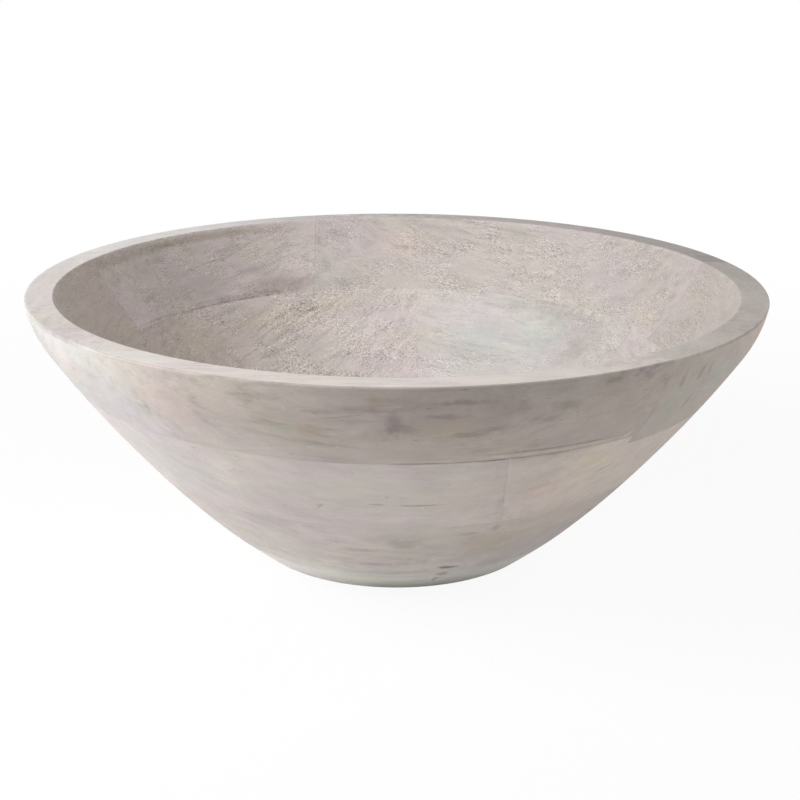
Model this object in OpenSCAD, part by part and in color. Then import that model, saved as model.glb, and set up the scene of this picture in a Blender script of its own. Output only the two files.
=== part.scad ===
// Dough bowl, glued up from blocks and boards in four courses and turned to shape
// Sizes in mm; the bowl stands on z = 0 with its axis on z and its front towards -y
// Every joint is a flat upright cut, square to x or to y

/* [Bowl] */
// Diameter over the rim
rim_d = 356; // [330:1:385]
// Height from the table to the rim
bowl_h = 132; // [122:1:150]
// Diameter of the flat that the bowl stands on
base_d = 140; // [110:1:170]
// Width of the flat rim
rim_w = 12; // [8:0.5:18]
// Thickness of the floor at the middle
floor_t = 24; // [20:0.5:32]

/* [Outside curve] */
// Radius of the long curve of the wall
wall_arc_r = 505; // [360:5:900]
// Radius of the shoulder below the rim
shoulder_r = 50; // [30:1:70]
// Lean of the wall off upright at the rim, degrees
rim_lean = 10; // [3:0.5:17]
// Rounding of both rim edges
rim_edge_r = 0.8; // [0.3:0.1:2]
// Rounding of the edge round the standing flat
foot_edge_r = 2; // [0.5:0.25:4]

/* [Courses] */
// Height of the base course
base_course_h = 15; // [10:0.5:18]
// Height of the bottom course
bottom_course_h = 38; // [30:0.5:46]
// Height of the wall course
wall_course_h = 41; // [32:0.5:50]
// Depth that the right-hand rim block reaches below its neighbours
right_block_drop = 4; // [1:0.5:10]

/* [Joints of the rim course] */
// Distance from the edge of the hollow, at the upper glue line, in to the joint behind the front block
rim_joint_front = 14; // [5:0.5:30]
// Distance from the axis to the joint before the two back blocks
rim_joint_back = 45; // [20:1:80]
// Distance from the axis, to the left, to the joint between the two back blocks
rim_joint_back_left = 48; // [20:1:90]

/* [Joints of the wall course] */
// Distance from the axis to the joint behind the two front blocks
wall_joint_front = 60; // [30:1:80]
// Distance from the axis, to the right, to the joint between the two front blocks
wall_joint_front_right = 45.5; // [20:0.5:70]
// Distance from the axis to the joint before the two back blocks
wall_joint_back = 72; // [40:1:90]
// Distance from the axis, to the right, to the joint between the two back blocks
wall_joint_back_right = 12; // [0:1:40]

/* [Boards] */
// Width of the middle board of the bottom course
bottom_board_w = 80; // [50:1:120]
// Width of the middle board of the base course
base_board_w = 60; // [40:1:90]

/* [Hidden] */
// Steps that a full circle is drawn in
$fn = 200;

// Length by which a cut passes the face that it opens
overrun = 1;
// Distance by which a chord may lie inside its arc
curve_tolerance = 0.02;
// Turns at which the arcs of the rim edges begin and end
quarter_turn = 90;
half_turn = 180;

// Heights of the three glue lines
base_top = base_course_h;
bottom_top = base_top + bottom_course_h;
wall_top = bottom_top + wall_course_h;

// Hollow: a ball that meets the flat rim and leaves the floor thickness
rim_r = rim_d / 2;
hollow_rim_r = rim_r - rim_w;
hollow_depth = bowl_h - floor_t;
hollow_r = (hollow_rim_r ^ 2 + hollow_depth ^ 2) / (2 * hollow_depth);
hollow_z = floor_t + hollow_r;

// Place of the joint behind the front rim block
hollow_wall_r = sqrt(hollow_r ^ 2 - (hollow_z - wall_top) ^ 2);
rim_front_y = rim_joint_front - hollow_wall_r;

// Outside: small arcs round the rim edge and round the standing flat
base_r = base_d / 2;
lip_c = [rim_r - rim_edge_r, bowl_h - rim_edge_r];
lip_from = quarter_turn - rim_lean;
foot_c = [base_r, foot_edge_r];

// The shoulder arc runs smoothly into the rim edge, and the wall arc into both the foot and the shoulder
shoulder_c = arc_point(lip_c, rim_edge_r - shoulder_r, lip_from);
foot_reach = wall_arc_r - foot_edge_r;
shoulder_reach = wall_arc_r - shoulder_r;
chord = norm(shoulder_c - foot_c);
chord_dir = (shoulder_c - foot_c) / chord;
chord_normal = [-chord_dir.y, chord_dir.x];
along_chord = (foot_reach ^ 2 - shoulder_reach ^ 2 + chord ^ 2) / (2 * chord);
off_chord = sqrt(foot_reach ^ 2 - along_chord ^ 2);
wall_c = foot_c + along_chord * chord_dir + off_chord * chord_normal;
wall_from = slope_towards(wall_c, foot_c);
shoulder_from = slope_towards(wall_c, shoulder_c);

// Inside edge of the rim: a small arc that touches the rim and the hollow
inside_edge_z = bowl_h - rim_edge_r;
inside_edge_x = sqrt((hollow_r + rim_edge_r) ^ 2 - (hollow_z - inside_edge_z) ^ 2);
inside_edge_c = [inside_edge_x, inside_edge_z];
inside_edge_to = half_turn + slope_towards([0, hollow_z], inside_edge_c);

// Half outline of the turned outside, from the axis round to the axis again
outline = concat(
    [[0, 0]],
    arc(foot_c, foot_edge_r, 0, wall_from),
    arc(wall_c, wall_arc_r, wall_from, shoulder_from),
    arc(shoulder_c, shoulder_r, shoulder_from, lip_from),
    arc(lip_c, rim_edge_r, lip_from, half_turn),
    [[lip_c.x, bowl_h], [0, bowl_h]]
);

// Outline of the sliver that rounds the inside edge of the rim; its foot lies in the hollow
inside_edge = arc(inside_edge_c, rim_edge_r, half_turn, inside_edge_to);
inside_edge_end = arc_point(inside_edge_c, rim_edge_r, inside_edge_to);
inside_edge_run = inside_edge_end - inside_edge[len(inside_edge) - 1];
inside_edge_foot = inside_edge_end + inside_edge_run;
inside_edge_cut = concat(
    [[inside_edge_foot.x, bowl_h + overrun], [inside_edge_c.x, bowl_h + overrun]],
    inside_edge,
    [inside_edge_foot]
);

// Point of an arc at which the curve has the given slope
function arc_point(centre, r, slope) = centre + r * [sin(slope), -cos(slope)];

// Slope of an arc about the first point where it faces the second
function slope_towards(from, to) = atan2(to.x - from.x, from.y - to.y);

// Largest step that keeps the chords of an arc within the tolerance
function arc_step(r) = 2 * acos(1 - curve_tolerance / r);

// Points of an arc without its last one, which begins the next curve
function arc(centre, r, from, to) =
    let (count = ceil((to - from) / arc_step(r)))
    [for (i = [0 : count - 1]) arc_point(centre, r, from + (to - from) * i / count)];

// Half section of the bowl between two heights
module section(low, high) {
    difference() {
        intersection() {
            polygon(outline);
            translate([0, low])
                square([rim_d, high - low]);
        }
        translate([0, hollow_z])
            circle(hollow_r);
        polygon(inside_edge_cut);
    }
}

// Piece of a course between flat joints; left and right lie on x, near and far on y
module piece(low, high, left, right, near, far) {
    intersection() {
        rotate_extrude()
            section(low, high);
        translate([left, near, low - overrun])
            cube([right - left, far - near, high - low + 2 * overrun]);
    }
}

// Block of the rim course
module rim_block(left, right, near, far, drop = 0) {
    piece(wall_top - drop, bowl_h, left, right, near, far);
}

// Block of the wall course, let down where the right-hand rim block reaches lower
module wall_block(left, right, near, far) {
    difference() {
        piece(bottom_top, wall_top, left, right, near, far);
        right_block_seat();
    }
}

// Room for the lower part of the right-hand rim block
module right_block_seat() {
    translate([0, rim_front_y, wall_top - right_block_drop])
        cube([rim_d, rim_joint_back - rim_front_y, right_block_drop + overrun]);
}

// Board of the bottom course, from left to right
module bottom_board(near, far) {
    piece(base_top, bottom_top, -rim_d, rim_d, near, far);
}

// Board of the base course, from left to right
module base_board(near, far) {
    piece(0, base_top, -rim_d, rim_d, near, far);
}

module rim_block_front() {
    color([0.71, 0.69, 0.66])
        rim_block(-rim_d, rim_d, -rim_d, rim_front_y);
}

module rim_block_right() {
    color([0.62, 0.63, 0.64])
        rim_block(0, rim_d, rim_front_y, rim_joint_back, right_block_drop);
}

module rim_block_back() {
    color([0.68, 0.66, 0.66])
        rim_block(-rim_joint_back_left, rim_d, rim_joint_back, rim_d);
}

module rim_block_back_left() {
    color([0.66, 0.64, 0.62])
        rim_block(-rim_d, -rim_joint_back_left, rim_joint_back, rim_d);
}

module rim_block_left() {
    color([0.75, 0.74, 0.71])
        rim_block(-rim_d, 0, rim_front_y, rim_joint_back);
}

module wall_block_front() {
    color([0.77, 0.75, 0.71])
        wall_block(-rim_d, wall_joint_front_right, -rim_d, -wall_joint_front);
}

module wall_block_front_right() {
    color([0.72, 0.69, 0.64])
        wall_block(wall_joint_front_right, rim_d, -rim_d, -wall_joint_front);
}

module wall_block_back_right() {
    color([0.69, 0.68, 0.66])
        wall_block(0, rim_d, -wall_joint_front, wall_joint_back);
}

module wall_block_back() {
    color([0.74, 0.71, 0.67])
        wall_block(wall_joint_back_right, rim_d, wall_joint_back, rim_d);
}

module wall_block_back_left() {
    color([0.67, 0.65, 0.61])
        wall_block(-rim_d, wall_joint_back_right, wall_joint_back, rim_d);
}

module wall_block_left() {
    color([0.73, 0.71, 0.68])
        wall_block(-rim_d, 0, -wall_joint_front, wall_joint_back);
}

module bottom_board_front() {
    color([0.72, 0.70, 0.67])
        bottom_board(-rim_d, -bottom_board_w / 2);
}

module bottom_board_middle() {
    color([0.75, 0.73, 0.69])
        bottom_board(-bottom_board_w / 2, bottom_board_w / 2);
}

module bottom_board_back() {
    color([0.70, 0.68, 0.64])
        bottom_board(bottom_board_w / 2, rim_d);
}

module base_board_front() {
    color([0.68, 0.67, 0.63])
        base_board(-rim_d, -base_board_w / 2);
}

module base_board_middle() {
    color([0.71, 0.69, 0.65])
        base_board(-base_board_w / 2, base_board_w / 2);
}

module base_board_back() {
    color([0.66, 0.64, 0.60])
        base_board(base_board_w / 2, rim_d);
}

rim_block_front();
rim_block_right();
rim_block_back();
rim_block_back_left();
rim_block_left();
wall_block_front();
wall_block_front_right();
wall_block_back_right();
wall_block_back();
wall_block_back_left();
wall_block_left();
bottom_board_front();
bottom_board_middle();
bottom_board_back();
base_board_front();
base_board_middle();
base_board_back();
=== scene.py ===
# Dough bowl, turned from planks and boards that were glued up in four courses, with a pale wash over the wood
# Lengths in metres, angles in radians; azimuth 0 is the front, at -y, and grows towards +x
import math
from collections import namedtuple

import bmesh
import bpy
from mathutils import Matrix, Vector


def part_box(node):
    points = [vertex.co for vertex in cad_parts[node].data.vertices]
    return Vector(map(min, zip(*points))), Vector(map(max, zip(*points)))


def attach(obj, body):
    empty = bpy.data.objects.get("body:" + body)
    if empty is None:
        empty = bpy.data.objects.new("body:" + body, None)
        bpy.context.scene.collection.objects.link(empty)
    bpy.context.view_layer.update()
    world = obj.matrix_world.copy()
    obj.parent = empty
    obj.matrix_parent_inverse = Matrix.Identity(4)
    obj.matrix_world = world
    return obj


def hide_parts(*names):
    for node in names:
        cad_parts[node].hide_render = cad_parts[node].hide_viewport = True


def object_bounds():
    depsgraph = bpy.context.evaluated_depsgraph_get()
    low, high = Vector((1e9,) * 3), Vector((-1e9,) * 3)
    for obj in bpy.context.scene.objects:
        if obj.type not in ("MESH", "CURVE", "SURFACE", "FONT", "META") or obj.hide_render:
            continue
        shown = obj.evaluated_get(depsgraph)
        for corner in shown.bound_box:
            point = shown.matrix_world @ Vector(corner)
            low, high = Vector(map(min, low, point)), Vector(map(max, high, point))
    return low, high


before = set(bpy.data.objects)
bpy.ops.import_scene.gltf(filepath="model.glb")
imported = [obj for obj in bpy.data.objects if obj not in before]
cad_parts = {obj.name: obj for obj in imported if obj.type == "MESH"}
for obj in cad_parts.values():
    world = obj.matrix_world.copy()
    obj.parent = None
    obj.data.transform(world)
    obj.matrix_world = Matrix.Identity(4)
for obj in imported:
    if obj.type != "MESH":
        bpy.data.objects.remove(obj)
CAD_LOW, CAD_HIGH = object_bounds()

MM = 0.001
DEG = math.pi / 180

# Lengths below which two points count as one, and a point counts as lying on a plane
TINY = 1e-9
WELD = 1e-6
ON_PLANE = 1e-5

# Turned outline: what the frame gives is read from it, the rest is as in the part's source, less a thin skin.
# Two things that the photograph shows aren't in the solids: a wider flat rim and a fuller lower wall
SKIN = 0.12 * MM
RIM_WIDER = 1.3 * MM
FULLER = 1.2 * MM
FULLER_RISE = (-6 * MM, 18 * MM)
FULLER_FADE = (15 * MM, 70 * MM)
RIM_R = (CAD_HIGH.x - CAD_LOW.x) / 2 - SKIN
BOWL_H = CAD_HIGH.z
BASE_R = 70 * MM - SKIN
RIM_W = 12 * MM + RIM_WIDER
FLOOR_T = 24 * MM
WALL_ARC_R = 505 * MM
SHOULDER_R = 50 * MM
RIM_LEAN = 10 * DEG
RIM_EDGE_R = 0.8 * MM
FOOT_EDGE_R = 2 * MM

# Glue lines and flat joints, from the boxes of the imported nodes
BASE_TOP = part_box("base_board_front")[1].z
BOTTOM_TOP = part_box("bottom_board_front")[1].z
WALL_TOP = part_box("wall_block_front")[1].z
RIGHT_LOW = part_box("rim_block_right")[0].z
RIM_FRONT_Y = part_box("rim_block_front")[1].y
RIM_BACK_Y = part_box("rim_block_back")[0].y
RIM_BACK_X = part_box("rim_block_back_left")[1].x
WALL_FRONT_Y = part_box("wall_block_front")[1].y
WALL_FRONT_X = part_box("wall_block_front")[1].x
WALL_BACK_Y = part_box("wall_block_back")[0].y
WALL_BACK_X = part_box("wall_block_back")[0].x
BOTTOM_JOINT_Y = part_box("bottom_board_middle")[1].y
BASE_JOINT_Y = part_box("base_board_middle")[1].y
# The joint at the front right is turned off square in the photograph, so it stands at an azimuth
RIM_RIGHT_AZ = 38.9 * DEG

# Mesh steps
TURN_STEP = 1 * DEG
PROFILE_STEP = 2.5 * MM
ARC_STEP = 15 * DEG
EDGE_BAND = 1.1 * MM
FLOOR_BAND = 0.3 * MM
SNAP = 0.45 * TURN_STEP
SHARP = 32 * DEG

# Glue lines: half width of the groove, tight and opened. Butt joints: width of their edges, and a depth that
# stays below the groove, so that no faces cross
TIGHT = 0.05 * MM
OPEN = 0.22 * MM
BUTT = 0.08 * MM
BUTT_DEPTH = 0.03 * MM
BUTT_SEAM = 0.3
TIGHT_SEAM = 0.15
LINE_NEAR = 1 * MM

# The upper glue line has opened outside at the front: a little at the left, more from the middle to the right
CRACK_LEFT = (-26 * DEG, -12 * DEG)
CRACK_LEFT_SHARE = 0.45
CRACK_MIDDLE = (-4 * DEG, 3 * DEG)
CRACK_MIDDLE_SHARE = 0.38
CRACK_END = (22 * DEG, 35 * DEG)
# Its width wavers: the mean share, and waves round the bowl with their shares and shifts
CRACK_MEAN = 0.80
CRACK_WAVES = ((31, 0.12, 0), (77, 0.08, 1))

# Small wander of the glue lines: its size, its reach up and down, and waves round the bowl with their shares
WAVE = 0.22 * MM
WAVE_REACH = 7 * MM
WAVES = ((2, 0.40), (5, 0.30), (11, 0.18), (23, 0.12))
WAVE_SHIFT = 40

# What each point of a mesh tells its material: 1 in the hollow, on the flat rim, on its edges, in open seams
SURFACE_VALUES = ("hollow", "rim", "edge", "seam")

# Arc of the half section; a slope of 0 is its lowest point
Arc = namedtuple("Arc", "centre r start end")
# Flat joint: the axis that it is square to, its place there, and the half of the bowl that it crosses.
# A joint that stands along a radius has "ring" for an axis and its azimuth for a place
Joint = namedtuple("Joint", "axis at side")
# Top of a wall block let down to a seat, before (-1) or past (1) a joint, under the longer rim block
Step = namedtuple("Step", "cut seat side")


def smooth(x, low, high):
    t = min(max((x - low) / (high - low), 0), 1)
    return t * t * (3 - 2 * t)


# Half section
def arc(centre, r, start, end, step=ARC_STEP):
    """Points of an arc, from one slope to another."""
    count = max(2, math.ceil((end - start) / step))
    slopes = [start + (end - start) * i / count for i in range(count + 1)]
    return [(centre[0] + r * math.sin(s), centre[1] - r * math.cos(s)) for s in slopes]


def slope_towards(a, b):
    return math.atan2(b[0] - a[0], a[1] - b[1])


def outside_arcs():
    """Foot, wall, shoulder and lip, each smooth with the next."""
    lip_c = (RIM_R - RIM_EDGE_R, BOWL_H - RIM_EDGE_R)
    lip_from = math.pi / 2 - RIM_LEAN
    foot_c = (BASE_R, FOOT_EDGE_R)
    back = RIM_EDGE_R - SHOULDER_R
    shoulder_c = (lip_c[0] + back * math.sin(lip_from), lip_c[1] - back * math.cos(lip_from))
    foot_reach = WALL_ARC_R - FOOT_EDGE_R
    shoulder_reach = WALL_ARC_R - SHOULDER_R
    run = (shoulder_c[0] - foot_c[0], shoulder_c[1] - foot_c[1])
    chord = math.hypot(*run)
    ux, uz = run[0] / chord, run[1] / chord
    along = (foot_reach ** 2 - shoulder_reach ** 2 + chord ** 2) / (2 * chord)
    off = math.sqrt(foot_reach ** 2 - along ** 2)
    wall_c = (foot_c[0] + along * ux - off * uz, foot_c[1] + along * uz + off * ux)
    wall_from = slope_towards(wall_c, foot_c)
    shoulder_from = slope_towards(wall_c, shoulder_c)
    return [Arc(foot_c, FOOT_EDGE_R, 0, wall_from),
            Arc(wall_c, WALL_ARC_R, wall_from, shoulder_from),
            Arc(shoulder_c, SHOULDER_R, shoulder_from, lip_from),
            Arc(lip_c, RIM_EDGE_R, lip_from, math.pi)]


ARCS = outside_arcs()
FOOT, LIP = ARCS[0], ARCS[-1]
LIP_Z = LIP.centre[1] - LIP.r * math.cos(LIP.start)
HOLLOW_RIM_R = RIM_R - RIM_W
HOLLOW_DEPTH = BOWL_H - FLOOR_T
HOLLOW_R = (HOLLOW_RIM_R ** 2 + HOLLOW_DEPTH ** 2) / (2 * HOLLOW_DEPTH)
HOLLOW_Z = FLOOR_T + HOLLOW_R
INSIDE_EDGE_Z = BOWL_H - RIM_EDGE_R
INSIDE_EDGE_C = (math.sqrt((HOLLOW_R + RIM_EDGE_R) ** 2 - (HOLLOW_Z - INSIDE_EDGE_Z) ** 2), INSIDE_EDGE_Z)
INSIDE_EDGE_TO = math.pi + slope_towards((0, HOLLOW_Z), INSIDE_EDGE_C)
INSIDE_TOP_Z = INSIDE_EDGE_Z - RIM_EDGE_R * math.cos(INSIDE_EDGE_TO)


def fuller(z):
    """What the photograph has over the solids in the lower wall."""
    return FULLER * smooth(z, *FULLER_RISE) * (1 - smooth(z, *FULLER_FADE))


def outer_r(z):
    """Radius of the outside at a height."""
    for bend in ARCS:
        if z <= bend.centre[1] - bend.r * math.cos(bend.end) + TINY:
            break
    up = min(max((bend.centre[1] - z) / bend.r, -1), 1)
    return bend.centre[0] + bend.r * math.sin(math.acos(up)) + fuller(z)


def inner_r(z):
    """Radius of the hollow at a height."""
    return math.sqrt(max(HOLLOW_R ** 2 - (HOLLOW_Z - z) ** 2, 0))


def groove(line, az, side):
    """Half width of the groove along a glue line; where the upper line has opened, it is uneven."""
    if side == "in" or line < WALL_TOP - LINE_NEAR:
        return TIGHT
    az = math.remainder(az, 2 * math.pi)
    opened = CRACK_LEFT_SHARE * smooth(az, *CRACK_LEFT) + CRACK_MIDDLE_SHARE * smooth(az, *CRACK_MIDDLE)
    opened *= 1 - smooth(az, *CRACK_END)
    uneven = CRACK_MEAN + sum(share * math.sin(n * az + shift) for n, share, shift in CRACK_WAVES)
    return TIGHT + (OPEN - TIGHT) * opened * uneven


def wave(line, az):
    """Small wander of a glue line, the same for the pieces above and below it."""
    if line < LINE_NEAR or line > BOWL_H - LINE_NEAR:
        return 0
    seed = WAVE_SHIFT * line / BOWL_H
    return WAVE * sum(share * math.sin(n * az + seed * n) for n, share in WAVES)


def spaced(low, high, step=PROFILE_STEP):
    """Even steps from low to high, with a narrow band kept at both ends."""
    count = max(1, round((high - low - 2 * EDGE_BAND) / step))
    inner = [low + EDGE_BAND + (high - low - 2 * EDGE_BAND) * i / count for i in range(count + 1)]
    return [low] + inner + [high]


# Loops of half sections: a point is (side, height, groove widths up, groove widths out), or "at" with (r, z)
def course_loop(low, high, seat=None):
    """Half section of a wall block, with chamfered corners. A seat is the height to which the top may be let
    down; nothing is spaced between it and the top."""
    zs = spaced(low, high) if seat is None else spaced(low, seat) + [high]
    loop = []
    for i, z in enumerate(zs):
        lift = 1 if i == 0 else (-1 if z >= (seat or high) else 0)
        loop.append(("out", z, lift, 0))
    loop.append(("out", high, 0, -1))
    loop.append(("in", high, 0, 1))
    for i, z in enumerate(reversed(zs)):
        lift = 1 if i == len(zs) - 1 else (-1 if z >= (seat or high) else 0)
        loop.append(("in", z, lift, 0))
    loop.append(("in", low, 0, 1))
    loop.append(("out", low, 0, -1))
    return loop


def rim_loop(low):
    """Half section of a rim block: shoulder, lip, flat rim, inside edge and hollow."""
    loop = [("out", z, 1 if i == 0 else 0, 0) for i, z in enumerate(spaced(low, LIP_Z))]
    loop += [("at", p, 0, 0) for p in arc(*LIP)[1:]]
    loop += [("at", (r, BOWL_H), 0, 0) for r in reversed(spaced(INSIDE_EDGE_C[0], LIP.centre[0])[1:-1])]
    loop += [("at", p, 0, 0) for p in arc(INSIDE_EDGE_C, RIM_EDGE_R, math.pi, INSIDE_EDGE_TO)]
    inside = spaced(low, INSIDE_TOP_Z)[:-1]
    loop += [("in", z, 1 if i == len(inside) - 1 else 0, 0) for i, z in enumerate(reversed(inside))]
    loop += [("in", low, 0, 1), ("out", low, 0, -1)]
    return loop


def board_loop(low, high):
    """Half section of a turned board, up its outside, in to the axis and back along its underside."""
    has_floor = high > FLOOR_T
    foot = [0, *(p[1] for p in arc(*FOOT)[1:]), *spaced(FOOT_EDGE_R, high)[1:]]
    zs = spaced(low, high) if low > 0 else foot
    loop = []
    for i, z in enumerate(zs):
        lift = (1 if low > 0 else 0) if i == 0 else (-1 if i == len(zs) - 1 else 0)
        loop.append(("out", z, lift, 0))
    loop.append(("out", high, 0, -1))
    if has_floor:
        loop.append(("in", high, 0, 1))
        inside = [z for z in reversed(spaced(FLOOR_T, high)) if z > FLOOR_T + FLOOR_BAND]
        loop += [("in", z, -1 if i == 0 else 0, 0) for i, z in enumerate(inside)]
    else:
        loop.append(("at", (BASE_R / 2, high), 0, 0))
    loop.append(("at", (0, FLOOR_T if has_floor else high), 0, 0))
    loop.append(("at", (0, low), 0, 0))
    loop.append(("at", (BASE_R / 2, low), 0, 0))
    if low > 0:
        loop.append(("out", low, 0, -1))
    return loop


def nearest_line(z, low, high):
    return low if z - low < high - z else high


def section_point(point, az, low, high):
    """Radius and height of a loop point at an azimuth."""
    side, z, lift, out = point
    if side == "at":
        return z
    line = nearest_line(z, low, high)
    width = groove(line, az, side)
    near = max(0, 1 - abs(z - line) / WAVE_REACH)
    z = z + lift * width + near * wave(line, az)
    r = outer_r(z) if side == "out" else inner_r(z)
    return r + out * width, z


def joint_az(cut, r, shift):
    """Azimuth at which a joint, moved along the ring by shift, crosses the circle of a radius."""
    axis, at, side = cut
    if axis == "ring":
        return at + shift / r
    if axis == "y":
        turn = math.acos(min(max(-(at + shift * side) / r, -1), 1))
        return turn * side
    if side < 0:
        return math.asin(min(max((at + shift) / r, -1), 1))
    return math.pi - math.asin(min(max((at - shift) / r, -1), 1))


def next_apart(loop, i, way):
    """Nearest point of a closed loop, going one way from point i, that doesn't lie on it."""
    k = i + way
    while math.dist(loop[k % len(loop)], loop[i]) < TINY:
        k += way
    return Vector(loop[k % len(loop)])


def inset(loop, by):
    """Closed loop of (r, z) points moved in by a distance; points that lie on each other stay together."""
    n = len(loop)
    area = sum(loop[i][0] * loop[(i + 1) % n][1] - loop[(i + 1) % n][0] * loop[i][1] for i in range(n))
    turn = 1 if area > 0 else -1
    moved = []
    for i, (r, z) in enumerate(loop):
        a = (Vector((r, z)) - next_apart(loop, i, -1)).normalized()
        b = (next_apart(loop, i, 1) - Vector((r, z))).normalized()
        normal = Vector((-(a.y + b.y), a.x + b.x)) * turn
        normal = normal.normalized() if normal.length > WELD else Vector((0, 0))
        moved.append((r + normal.x * by, z + normal.y * by))
    return moved


# Blocks, swept round the ring from joint to joint
def ring_sections(loop, low, high, start, end, step=None):
    """Sections of a block along the ring, each a list of mesh points with their surface values."""
    mid_r = (outer_r((low + high) / 2) + inner_r((low + high) / 2)) / 2
    span = (joint_az(end, mid_r, 0) - joint_az(start, mid_r, 0)) % (2 * math.pi)
    count = math.ceil(span / TURN_STEP)
    first = [("start", 0, BUTT_DEPTH), ("start", BUTT, 0), ("start", EDGE_BAND, 0)]
    last = [("end", EDGE_BAND, 0), ("end", BUTT, 0), ("end", 0, BUTT_DEPTH)]
    stops = first + (stepped_run(count) if step else even_run(count)) + last
    return [section(stop, loop, low, high, start, end, step) for stop in stops]


def even_run(count):
    return [("run", i / count, 0) for i in range(1, count)]


def stepped_run(count):
    """Stops of a block whose top is let down past a joint: the run is split in two where the step stands."""
    half = count // 2
    run = [("before", i / half, 0) for i in range(1, half + 1)]
    return run + [("after", i / half, 0) for i in range(half)]


def step_share(step, start, end, r):
    """Share of the run at which the step's joint crosses a radius, held still below the ring's top."""
    r = max(r, inner_r(step.seat))
    a, b = joint_az(start, r, EDGE_BAND), joint_az(end, r, -EDGE_BAND)
    return (joint_az(step.cut, r, 0) - a) / (b - a)


def stop_az(stop, r, start, end, step):
    """Azimuth of a stop on the circle of a radius."""
    kind, value, _ = stop
    a, b = joint_az(start, r, EDGE_BAND), joint_az(end, r, -EDGE_BAND)
    b += 2 * math.pi if b < a else 0
    if kind == "start":
        return joint_az(start, r, value)
    if kind == "end":
        az = joint_az(end, r, -value)
        return az + (2 * math.pi if az < a else 0)
    if kind == "run":
        return a + (b - a) * value
    cut = step_share(step, start, end, r)
    return a + (b - a) * (cut * value if kind == "before" else cut + (1 - cut) * value)


def section(stop, loop, low, high, start, end, step):
    kind, value, shrink = stop
    let_down = step and kind in (("before", "start") if step.side < 0 else ("after", "end"))
    at_joint = kind in ("start", "end") and value < EDGE_BAND
    points, azimuths, values = [], [], []
    for point in loop:
        side, z, lift, out = point
        at_seat = step and z == step.seat
        past_seat = let_down and z > step.seat
        if past_seat:
            point = (side, step.seat, lift, out)
        top = step.seat if at_seat or past_seat else high
        az = stop_az(stop, section_point(point, 0, low, top)[0], start, end, step)
        azimuths.append(az)
        points.append(section_point(point, az, low, top))
        seam = 0 if at_seat and not let_down else seam_share(point, az, low, top, at_joint)
        values.append(surface_values(point) + (seam,))
    if shrink:
        points = inset(points, shrink)
    return [(r * math.sin(az), -r * math.cos(az), z, *v) for (r, z), az, v in zip(points, azimuths, values)]


def surface_values(point):
    """Whether a loop point lies in the hollow, on the flat rim and on an edge of it."""
    side, at, lift, out = point
    if side != "at":
        return (1 if side == "in" else 0, 0, 0)
    r, z = at
    hollow = 1 if r <= INSIDE_EDGE_C[0] and z < BOWL_H else 0
    rim = 1 if z > BOWL_H - ON_PLANE else 0
    edge = 0 if INSIDE_EDGE_C[0] < r < LIP.centre[0] else 1
    return (hollow, rim, edge)


def seam_share(point, az, low, high, at_joint):
    """How far the seam at a loop point has opened: butt joints a little, glue lines as their groove."""
    side, z, lift, out = point
    if at_joint:
        return BUTT_SEAM
    if not (lift or out):
        return 0
    width = groove(nearest_line(z, low, high), az, side)
    return TIGHT_SEAM + (1 - TIGHT_SEAM) * (width - TIGHT) / (OPEN - TIGHT)


def ring_mesh(name, sections):
    """Closed mesh through the sections, with a flat cap at both ends."""
    n = len(sections[0])
    rows = [p for s in sections for p in s]
    faces = []
    for i in range(len(sections) - 1):
        for j in range(n):
            k = (j + 1) % n
            faces.append((i * n + j, i * n + k, (i + 1) * n + k, (i + 1) * n + j))
    last = (len(sections) - 1) * n
    faces.append(tuple(range(n - 1, -1, -1)))
    faces.append(tuple(last + j for j in range(n)))
    bm = bmesh.new()
    layers = value_layers(bm)
    verts = [new_vert(bm, row[:3], layers, row[3:]) for row in rows]
    for face in faces:
        bm.faces.new([verts[i] for i in face])
    return close_mesh(name, bm)


def value_layers(bm):
    return [bm.verts.layers.float.new(name) for name in SURFACE_VALUES]


def new_vert(bm, at, layers, values):
    vert = bm.verts.new(at)
    for layer, value in zip(layers, values):
        vert[layer] = value
    return vert


def close_mesh(name, bm):
    """Welds doubled points, turns the faces out and makes the object."""
    bmesh.ops.remove_doubles(bm, verts=bm.verts, dist=WELD)
    bmesh.ops.recalc_face_normals(bm, faces=bm.faces)
    mesh = bpy.data.meshes.new(name)
    bm.to_mesh(mesh)
    bm.free()
    mesh.shade_smooth()
    mesh.set_sharp_from_angle(angle=SHARP)
    piece = bpy.data.objects.new(name, mesh)
    bpy.context.scene.collection.objects.link(piece)
    return piece


# Boards, turned whole and cut flat
def board_mesh(name, low, high, near, far):
    """Board: the whole course turned, then cut flat at its joints along x."""
    bm = bmesh.new()
    layers = value_layers(bm)
    loop = board_loop(low, high)
    columns = turned_columns(bm, layers, loop, low, high, (near, far))
    for a, b in zip(columns, columns[1:] + columns[:1]):
        for i in range(len(loop)):
            k = (i + 1) % len(loop)
            corners = list(dict.fromkeys((a[i], a[k], b[k], b[i])))
            if len(corners) > 2:
                bm.faces.new(corners)
    for at, keep in ((near, 1), (far, -1)):
        if abs(at) < RIM_R:
            cut_flat(bm, at, keep, layers[SURFACE_VALUES.index("seam")])
    return close_mesh(name, bm)


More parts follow.
